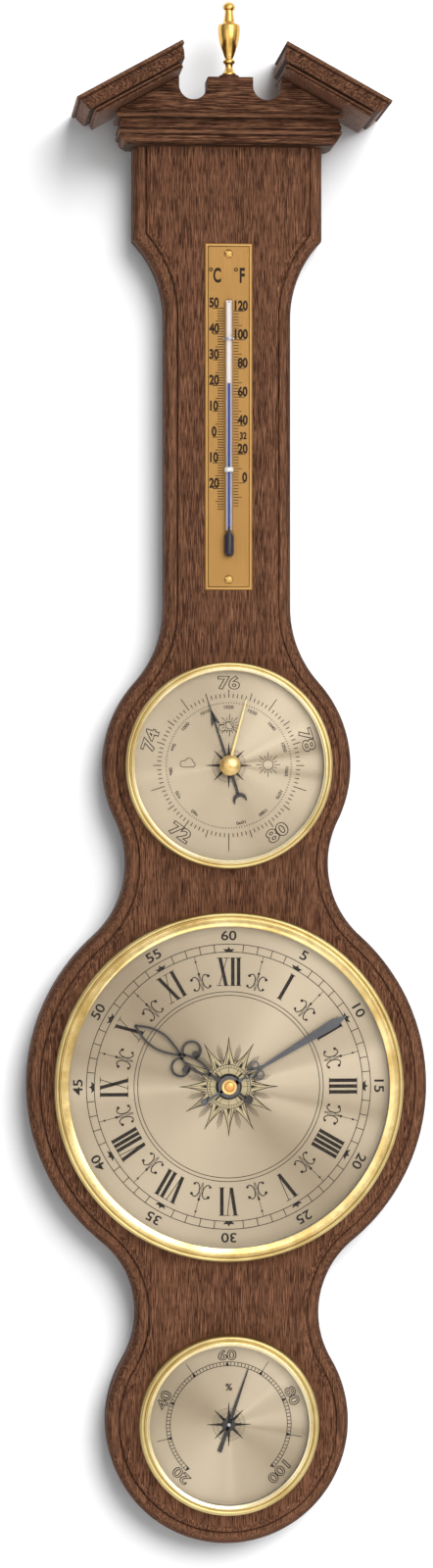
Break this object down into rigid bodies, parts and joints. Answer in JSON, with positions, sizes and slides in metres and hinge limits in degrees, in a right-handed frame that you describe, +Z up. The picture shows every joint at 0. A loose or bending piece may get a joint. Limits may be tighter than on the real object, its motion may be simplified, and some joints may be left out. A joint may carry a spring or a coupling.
{
  "type": "weather station",
  "caption": "Wall weather station: banjo-shaped wooden board under a broken pediment, with thermometer, aneroid barometer, quartz clock and hygrometer.",
  "frame": {"origin": "where the wall screw bears in the hanger's keyhole, on the plane of the wall", "axes": "+X right as a viewer faces the dials, +Y into the wall, so the front faces -Y, +Z up"},
  "size_m": [0.198, 0.06, 0.7593],
  "materials": {
    "board_wood": "open-grained brown wood with a satin varnish",
    "pediment_wood": "open-grained brown wood with a satin varnish",
    "polished_brass": "polished and lacquered",
    "brushed_brass": "pale satin brass with printed scales",
    "movement_brass": "plain machined brass",
    "plated_steel": "zinc plated",
    "spring_steel": "bright drawn steel",
    "capsule_metal": "nickel silver with pressed waves",
    "strip_metal": "thin metal strip with a paper face",
    "dial_aluminium": "champagne anodised and spun, with printed scales",
    "black_enamel": "satin blue-black enamel",
    "clear_glass": "clear flat glass",
    "tube_glass": "clear drawn glass",
    "blue_liquid": "blue spirit",
    "black_plastic": "fine moulded texture",
    "wheel_plastic": "natural acetal",
    "copper_winding": "enamelled copper wire",
    "circuit_laminate": "green solder mask",
    "cell_jacket": "printed steel can with a bare band"
  },
  "bodies": {
    "root": {"back_board": "board_wood", "cornice_block": "pediment_wood", "tympanum": "pediment_wood", "raking_cornice_left": "pediment_wood", "raking_cornice_right": "pediment_wood", "finial_button": "pediment_wood", "finial": "polished_brass", "hanger_plate": "plated_steel", "hanger_screw_upper": "plated_steel", "hanger_screw_lower": "plated_steel", "thermometer_plate": "brushed_brass", "thermometer_tube": "tube_glass", "thermometer_liquid": "blue_liquid", "tube_clip_upper": "plated_steel", "tube_clip_lower": "plated_steel", "plate_screw_upper": "polished_brass", "plate_screw_lower": "polished_brass", "barometer_case": "plated_steel", "barometer_dial": "dial_aluminium", "barometer_glass": "clear_glass", "barometer_bezel": "polished_brass", "barometer_frame": "movement_brass", "aneroid_capsule": "capsule_metal", "leaf_spring": "spring_steel", "clock_case": "plated_steel", "clock_dial": "dial_aluminium", "clock_glass": "clear_glass", "clock_bezel": "polished_brass", "movement_case": "black_plastic", "movement_cover": "black_plastic", "dial_nut": "movement_brass", "drive_coil": "copper_winding", "circuit_board": "circuit_laminate", "battery_contact_negative": "spring_steel", "battery_contact_positive": "spring_steel", "hygrometer_case": "plated_steel", "hygrometer_dial": "dial_aluminium", "hygrometer_glass": "clear_glass", "hygrometer_bezel": "polished_brass", "hygrometer_frame": "movement_brass", "humidity_strip": "strip_metal"},
    "minute_train": {"minute_arbor": "wheel_plastic", "minute_hand": "black_enamel", "minute_nut": "polished_brass"},
    "hour_train": {"hour_wheel": "wheel_plastic", "hour_hand": "black_enamel"},
    "setting_train": {"setting_shaft": "wheel_plastic", "setting_knob": "black_plastic"},
    "barometer_needle": {"barometer_arbor": "spring_steel", "barometer_pointer": "black_enamel"},
    "rocker": {"barometer_rocker": "movement_brass"},
    "set_marker": {"set_hand": "polished_brass", "set_knob": "polished_brass"},
    "hygrometer_needle": {"hygrometer_arbor": "spring_steel", "hygrometer_pointer": "black_enamel"},
    "barometer_screw": {"barometer_adjusting_screw": "movement_brass"},
    "hygrometer_screw": {"hygrometer_adjuster": "movement_brass"},
    "cell": {"battery": "cell_jacket"}
  },
  "joints": [
    {"name": "minute_hand_turn", "type": "hinge", "parent": "root", "child": "minute_train", "pos_m": [0, 0, -0.4388], "axis": [0, 1, 0], "continuous": true},
    {"name": "hour_hand_turn", "type": "hinge", "parent": "root", "child": "hour_train", "pos_m": [0, 0, -0.4388], "axis": [0, 1, 0], "continuous": true},
    {"name": "setting_knob_turn", "type": "hinge", "parent": "root", "child": "setting_train", "pos_m": [0.00766, 0, -0.43237], "axis": [0, 1, 0], "continuous": true},
    {"name": "barometer_pointer_turn", "type": "hinge", "parent": "root", "child": "barometer_needle", "pos_m": [0, 0, -0.2809], "axis": [0, 1, 0], "range_deg": [-126, 162]},
    {"name": "rocker_tilt", "type": "hinge", "parent": "root", "child": "rocker", "pos_m": [0, -0.0144, -0.2759], "axis": [1, 0, 0], "range_deg": [-7, 8.5]},
    {"name": "set_hand_turn", "type": "hinge", "parent": "root", "child": "set_marker", "pos_m": [0, 0, -0.2809], "axis": [0, 1, 0], "continuous": true},
    {"name": "hygrometer_pointer_turn", "type": "hinge", "parent": "root", "child": "hygrometer_needle", "pos_m": [0, 0, -0.6049], "axis": [0, 1, 0], "range_deg": [-155.8, 114.6]},
    {"name": "barometer_screw_turn", "type": "hinge", "parent": "root", "child": "barometer_screw", "pos_m": [0, 0, -0.2679], "axis": [0, 1, 0], "range_deg": [-180, 180]},
    {"name": "hygrometer_screw_turn", "type": "hinge", "parent": "root", "child": "hygrometer_screw", "pos_m": [0, 0, -0.6049], "axis": [0, 1, 0], "range_deg": [-45, 45]},
    {"name": "cell_slide", "type": "slide", "parent": "root", "child": "cell", "axis": [0, 1, 0], "range_m": [0, 0.025]}
  ],
  "couplings": [
    {"joint": "hour_hand_turn", "follows": "minute_hand_turn", "ratio": 0.083333},
    {"joint": "setting_knob_turn", "follows": "minute_hand_turn", "ratio": -0.33333},
    {"joint": "rocker_tilt", "follows": "barometer_pointer_turn", "ratio": 0.041667}
  ]
}
